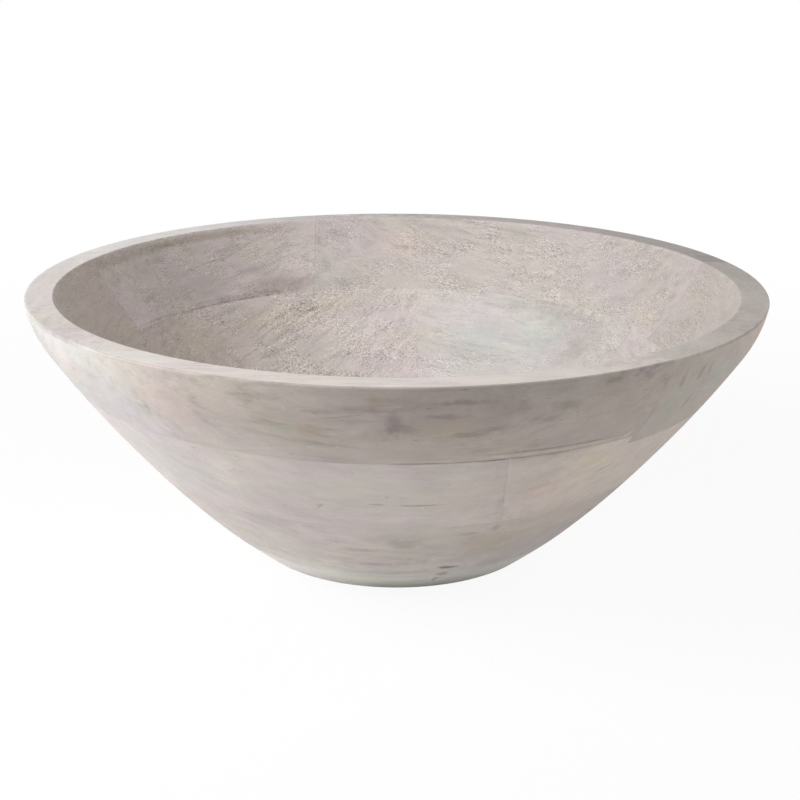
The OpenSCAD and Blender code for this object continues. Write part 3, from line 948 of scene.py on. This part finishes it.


# Marks of the planks, where the photograph has them, and a few of the same kind on the sides it doesn't show;
# a few are painted light and shade, noted where they stand
MARKS = {
    "rim_block_front": [
        spot(7, 116, 45, 16, (0.905, 0.885, 0.88)), spot(-45, 113, 50, 28, (1.07, 1.12, 1.19)),
        spot(-26, 96, 56, 9, (1.05, 1.05, 1.09)), spot(-33, 115, 20, 14, PINK),
        spot(33, 112, 34, 20, (1.05, 1.03, 1.0)), spot(0, 115, 8, 9, FAINT), spot(-0.3, 116, 4, 6, SHADE),
        spot(1, 112, 7, 4, SHADE, -10), spot(-6.5, 107, 12, 4, FAINT), spot(9.5, 109.2, 8, 1.8, DARK),
        spot(9.3, 104, 7, 1.4, FAINT), spot(22.5, 120, 8, 3, DARK), spot(-2.8, 126, 2.4, 4.5, BROWN),
        spot(-11.5, 110.5, 6, 4.5, BROWN), spot(-7.9, 118, 17, 0.4, SHADE, 10),
        spot(8.4, 125, 14, 1.4, DARK), spot(6, 118.8, 11, 1.5, DARK), spot(13.3, 122, 14, 5, FAINT),
        spot(6.7, 111.5, 10, 5, YELLOW), spot(15.3, 100, 8, 3, YELLOW), spot(1.1, 97, 8, 2, YELLOW),
        spot(-14.8, 110.5, 7, 5, GREEN), spot(28.7, 128.8, 5, 2, MOSS), spot(25, 95.8, 42, 1.0, BRIGHT),
        spot(23.5, 97.5, 34, 0.6, LINE), spot(3, 95.2, 20, 0.5, PALE), spot(-18, 99, 18, 0.8, PALE, 9),
        spot(-42, 118, 0.9, 4.5, DARK), spot(-37, 110, 0.9, 4, DARK), spot(37, 96.8, 3.5, 1.4, BRIGHT, 25),
        # The faint mark at -40 along the lip is painted shade, dimming the left lamps' highlight on the edge
        spot(36, 131.3, 34, 0.8, SHADE), spot(-40, 131.3, 30, 0.9, FAINT),
        top_spot(48, 72, DARK), top_spot(-46, 60, (0.94, 0.945, 0.945)),
        top_spot(-23, 34, FAINT)],
    "rim_block_right": [
        spot(39.4, 103, 0.8, 11, DARK), spot(43.5, 109, 10, 10, (0.92, 0.985, 0.985)),
        spot(53, 116, 10, 9, (0.96, 1.03, 1.04)), spot(43, 125, 18, 6, (0.99, 0.96, 0.945)),
        spot(46.2, 121.4, 1.8, 4.5, DARK), spot(48.4, 122.5, 1.6, 4, DARK), spot(47.7, 107.5, 2, 4.5, DARK),
        spot(42.3, 121, 2.2, 5.5, DARK), spot(56, 125, 0.9, 5, DARK), spot(52, 110, 20, 0.8, PALE, -9),
        top_spot(45, 50, (1.14, 1.14, 1.14)), top_spot(98, 45, (0.86, 0.855, 0.85)),
        spot(62, 126, 34, 6, PINK), spot(60, 131.3, 62, 0.8, LINE),
        in_spot(103, 118, 10, 6, (1.01, 1.005, 0.965)), in_spot(85, 126, 16, 5, PALE),
        spot(78, 112, 12, 5, FAINT), spot(95, 106, 9, 1.4, SHADE)],
    "rim_block_back": [
        in_spot(179, 119, 22, 10, PINK), in_spot(113.6, 99, 10, 6, YELLOW),
        in_spot(120, 112, 46, 30, (0.97, 0.97, 0.965)), in_spot(109, 112, 11, 26, (0.96, 0.955, 0.95)),
        in_spot(193, 98, 14, 3, FAINT), in_spot(197, 112, 30, 28, (1.05, 1.045, 1.07)),
        # The strong lightening of the flat rim centred at 196 is a painted highlight
        top_spot(196, 74, (1.45, 1.5, 1.5)), top_spot(163, 110, (1.32, 1.35, 1.32)),
        top_spot(106, 28, (0.84, 0.83, 0.81)), spot(150, 113, 14, 5, FAINT), spot(132, 104, 9, 1.6, DARK),
        spot(171, 120, 11, 2.2, SHADE), spot(188, 101, 12, 3, YELLOW)],
    "rim_block_back_left": [
        in_spot(199, 112, 26, 28, (1.08, 1.08, 1.10)), in_spot(207, 99, 26, 5, DARK),
        in_spot(216, 96, 40, 2, DARK), in_spot(230, 104, 40, 9, FAINT), in_spot(222, 128.5, 60, 2.6, MOSS),
        in_spot(246, 127.5, 50, 3.4, MOSS), in_spot(224, 94.6, 48, 0.6, LINE),
        in_spot(220, 116.2, 19, 0.5, SHADE, -6), in_spot(243, 95.4, 24, 0.7, DARK),
        top_spot(198, 46, (0.84, 0.84, 0.85)), top_spot(253, 40, (0.97, 0.965, 0.96)),
        spot(-142, 110, 12, 5, FAINT), spot(-126, 118, 10, 1.8, SHADE), spot(-152, 104, 8, 3, SHADE)],
    "rim_block_left": [
        # The darker marks at -67 on the tip and at -60 and -54 along the lip are painted shade, dimming the
        # left lamps' light there
        spot(-54, 117, 14, 9, PINK), spot(-67, 125, 22, 8, (0.89, 0.89, 0.90)),
        spot(-60, 131.3, 62, 0.9, SHADE), spot(-54, 131.3, 24, 1.0, SHADE),
        top_spot(-107, 40, (1.10, 1.11, 1.12)), top_spot(-78, 25, (0.95, 0.955, 0.96)),
        top_spot(-44, 40, (1.05, 1.05, 1.05)), spot(-90, 108, 10, 4, FAINT)],
    "wall_block_front": [
        spot(4, 68.5, 11, 0.6, LINE), spot(-3, 69, 5, 0.6, LINE), spot(-13.6, 65.7, 3.5, 0.6, LINE, 45),
        spot(6, 77.5, 9, 4, GREEN), spot(5, 89.8, 9, 3, YELLOW), spot(19, 66, 2.2, 8, (0.90, 0.92, 0.88)),
        spot(-36, 73.3, 11, 0.5, PALE, -7), spot(-30, 77, 10, 13, PALE),
        spot(17, 74, 30, 28, (1.055, 1.035, 1.01)), spot(-46, 74, 42, 26, (0.955, 0.99, 1.025))],
    "wall_block_front_right": [
        spot(26, 72, 14, 10, PINK), spot(37.7, 77, 6, 0.9, DARK, 20), spot(34, 85, 12, 5, YELLOW),
        spot(20.5, 60, 2, 5, FAINT), spot(18.2, 74, 0.7, 24, SHADE, 16.7),
        spot(19, 74, 28, 28, (0.912, 0.922, 0.945)), spot(34, 53, 46, 6, FAINT)],
    "wall_block_back_right": [
        in_spot(124, 82, 26, 20, (0.99, 1.01, 1.03)), spot(88, 76, 12, 4, FAINT),
        spot(76, 68, 9, 1, SHADE)],
    "wall_block_back": [
        in_spot(141, 77, 22, 12, BLUE), in_spot(157, 73, 18, 10, BLUE),
        # The darker strip in the hollow just under the top of the wall course, from 129 to 140, is painted
        # shadow
        in_spot(129, 89.5, 10, 4, (0.90, 0.92, 0.92)), in_spot(140, 93, 28, 1.0, SHADE),
        in_spot(140, 91, 28, 4, SHADE), in_spot(138, 87, 24, 6, FAINT),
        in_spot(148, 82, 9.4, 0.5, SHADE, 10), in_spot(123, 82, 42, 24, (0.89, 0.87, 0.86)),
        in_spot(176, 80, 26, 26, (1.01, 0.985, 0.97)), spot(140, 74, 11, 1.0, SHADE),
        spot(158, 82, 14, 6, FAINT)],
    "wall_block_back_left": [
        in_spot(212, 84, 26, 9, YELLOW), in_spot(196, 87, 16, 5, YELLOW),
        in_spot(218.3, 67, 5.5, 0.6, DARK, -6), in_spot(219.2, 73, 5, 0.6, SHADE, -6),
        in_spot(215.9, 80, 6, 0.7, DARK, -18), in_spot(202.4, 84.7, 9, 1.0, DARK, -16),
        in_spot(211.7, 82.4, 6, 0.6, SHADE, -24), in_spot(210.4, 76, 10, 1.4, SHADE, -19),
        in_spot(206, 80, 26, 24, (0.98, 0.97, 0.97)), in_spot(216, 76.4, 13, 0.7, SHADE, -19),
        in_spot(222.3, 70, 12, 0.7, SHADE, -12), in_spot(207.5, 76.5, 10, 0.8, SHADE, -22),
        in_spot(228, 81.6, 10, 0.7, SHADE, -10), in_spot(201.8, 85, 4.2, 0.9, DARK, -16),
        in_spot(232, 74, 14, 12, FAINT), in_spot(236, 80, 50, 26, (0.945, 0.92, 0.87)),
        spot(-150, 70, 12, 5, FAINT), spot(-132, 78, 10, 0.8, DARK)],
    "wall_block_left": [
        in_spot(237, 80, 30, 24, (1.05, 1.04, 1.03)), spot(-92, 74, 12, 4, FAINT),
        spot(-104, 66, 9, 1, SHADE)],
    "bottom_board_front": [
        spot(-8.9, 35.4, 10, 2, DARK), spot(1.6, 41.2, 10, 3.6, DARK), spot(-13.5, 41.6, 10, 2, SHADE),
        spot(-5.8, 24.4, 9, 2, SHADE), spot(-3.9, 16.4, 14, 1.0, SHADE), spot(28.9, 19, 12, 4, SHADE),
        spot(-28.9, 48.7, 13, 7, (0.91, 0.925, 0.92)), spot(15.6, 46.5, 6, 1.2, DARK),
        spot(21, 48.7, 2.2, 3, DARK), spot(21, 38.5, 17, 9, (0.91, 0.88, 0.83)),
        spot(-12.9, 27.8, 7, 1.4, FAINT), spot(6, 33, 28, 2.6, FAINT, -12), spot(-2, 45, 22, 4, FAINT),
        spot(-18.7, 37.4, 8, 3, FAINT), spot(-23, 44, 7, 4, FAINT), spot(-14, 31, 9, 2, PALE),
        spot(-4, 38, 10, 2, PALE), spot(9, 38, 7, 3, FAINT), spot(12, 29, 9, 2.4, PALE),
        # The wide greenish lightening low on the front bottom board, centred 11 mm up, is painted light from
        # the floor
        spot(14.4, 19.8, 6.5, 1.4, PITCH, -6), spot(0, 11, 130, 16, (1.15, 1.21, 1.21)),
        spot(-38, 36, 40, 22, (1.03, 1.05, 1.07)), spot(36, 46, 46, 14, (1.07, 1.05, 1.01))],
    "bottom_board_middle": [spot(88, 36, 12, 3, FAINT), spot(-95, 34, 12, 3, FAINT)],
    "bottom_board_back": [
        spot(160, 38, 12, 3, FAINT), spot(-165, 30, 9, 1.4, SHADE), spot(178, 44, 9, 2, SHADE)],
    "base_board_front": [
        spot(0, 15.5, 130, 5, (0.91, 0.90, 0.90)), spot(14.1, 13.8, 4.2, 2.2, TAR),
        spot(12.9, 9.8, 1.8, 1.4, TAR), spot(12.6, 7.5, 1.3, 1.0, PITCH)],
}

# Zones of the hollow where the wash has filled the pores, with the share of them that is left
FILLED = [
    in_spot(150, 76, 62, 18, 0.25), in_spot(257, 114, 38, 18, 0.4), in_spot(84, 120, 34, 22, 0.3),
    in_spot(173, 128, 50, 6, 0.5), in_spot(183, 108, 42, 24, 0.8)]


for node, piece in make_pieces().items():
    piece.data.materials.append(wood(node + "_wood", PLAIN | LOOKS[node], MARKS.get(node, [])))
    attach(piece, "root")
    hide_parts(node)


# Camera, fitted to the rim and the outline in the photograph
CAMERA_AT = Vector((0.547, -712.0, 297.43)) * MM
CAMERA_PITCH = 0.30866
CAMERA_YAW = 0.0017
CAMERA_ROLL = 0.0049319
CAMERA_LENS = 66.9
SENSOR_WIDTH = 36


def make_camera():
    level = math.cos(CAMERA_PITCH)
    ahead = Vector((math.sin(CAMERA_YAW) * level, math.cos(CAMERA_YAW) * level, -math.sin(CAMERA_PITCH)))
    right = Vector((math.cos(CAMERA_YAW), -math.sin(CAMERA_YAW), 0))
    up = right.cross(ahead)
    c, s = math.cos(CAMERA_ROLL), math.sin(CAMERA_ROLL)
    axes = (c * right + s * up, c * up - s * right, -ahead)
    data = bpy.data.cameras.new("camera")
    data.lens = CAMERA_LENS
    data.sensor_width = SENSOR_WIDTH
    camera = bpy.data.objects.new("camera", data)
    camera.matrix_world = Matrix.Translation(CAMERA_AT) @ Matrix(axes).transposed().to_4x4()
    bpy.context.scene.collection.objects.link(camera)
    bpy.context.scene.camera = camera


# Studio: a large lamp on the left, a nearer one low on the same side, a weaker one on the right, even fill.
# Lamps: azimuth and height angle in degrees, distance and size in metres, power in watts
LAMPS = {
    "key": (-70, 35, 1.1, 0.6, 9.8),
    "low_key": (-70, 15, 0.55, 0.35, 0.95),
    "right": (80, 35, 1.1, 0.6, 4.6),
}
LIT_POINT = Vector((0, 0, 100 * MM))
FILL = 0.15

# Floor: half its side, its grey, how far its shaded part reaches, where it is all white, and how white the
# shaded part is by itself
FLOOR_HALF = 8.0
FLOOR_GREY = (0.9, 0.9, 0.9, 1)
SHADED_TO = 0.2
WHITE_FROM = 0.75
SHADED_WHITE = 0.92
WHITE = (1, 1, 1, 1)


def lamp(name, azimuth, rise, distance, size, power):
    """Round soft lamp that faces the bowl."""
    data = bpy.data.lights.new(name, "AREA")
    data.shape = "DISK"
    data.size = size
    data.energy = power
    az, up = azimuth * DEG, rise * DEG
    towards = Vector((math.sin(az) * math.cos(up), -math.cos(az) * math.cos(up), math.sin(up)))
    light = bpy.data.objects.new(name, data)
    light.location = LIT_POINT + distance * towards
    light.rotation_euler = (-towards).to_track_quat("-Z", "Y").to_euler()
    bpy.context.scene.collection.objects.link(light)


def seen_directly(tree):
    """1 for the rays by which the camera sees a surface, straight, mirrored or through glass."""
    path = add(tree, "ShaderNodeLightPath").outputs
    both = calc(tree, "MAXIMUM", path["Is Camera Ray"], path["Is Glossy Ray"])
    return calc(tree, "MAXIMUM", both, path["Is Transmission Ray"])


def make_floor():
    """Pale floor: white to the camera, but by the bowl in part lit as it is, so that the shadow shows."""
    mesh = bpy.data.meshes.new("floor")
    corners = [(-FLOOR_HALF, -FLOOR_HALF, 0), (FLOOR_HALF, -FLOOR_HALF, 0), (FLOOR_HALF, FLOOR_HALF, 0),
               (-FLOOR_HALF, FLOOR_HALF, 0)]
    mesh.from_pydata(corners, [], [(0, 1, 2, 3)])
    floor = bpy.data.objects.new("floor", mesh)
    bpy.context.scene.collection.objects.link(floor)
    material = bpy.data.materials.new("floor")
    material.use_nodes = True
    tree = material.node_tree
    tree.nodes.clear()
    away = length_of(tree, add(tree, "ShaderNodeTexCoord").outputs["Object"])
    white_share = remap(tree, away, SHADED_TO, WHITE_FROM, SHADED_WHITE, 1, "SMOOTHSTEP")
    share = times(tree, white_share, seen_directly(tree))
    matt = add(tree, "ShaderNodeBsdfDiffuse", {"Color": FLOOR_GREY})
    white = add(tree, "ShaderNodeEmission", {"Color": WHITE, "Strength": 1})
    both = add(tree, "ShaderNodeMixShader", {0: share, 1: matt.outputs[0], 2: white.outputs[0]})
    add(tree, "ShaderNodeOutputMaterial", {"Surface": both.outputs[0]})
    mesh.materials.append(material)


def make_world():
    world = bpy.data.worlds.new("studio")
    bpy.context.scene.world = world
    world.use_nodes = True
    tree = world.node_tree
    tree.nodes.clear()
    level = remap(tree, seen_directly(tree), 0, 1, FILL, 1)
    sky = add(tree, "ShaderNodeBackground", {"Color": WHITE, "Strength": level})
    add(tree, "ShaderNodeOutputWorld", {"Surface": sky.outputs[0]})


make_camera()
make_floor()
make_world()
for name, settings in LAMPS.items():
    lamp(name, *settings)
bpy.context.scene.view_settings.view_transform = "Standard"
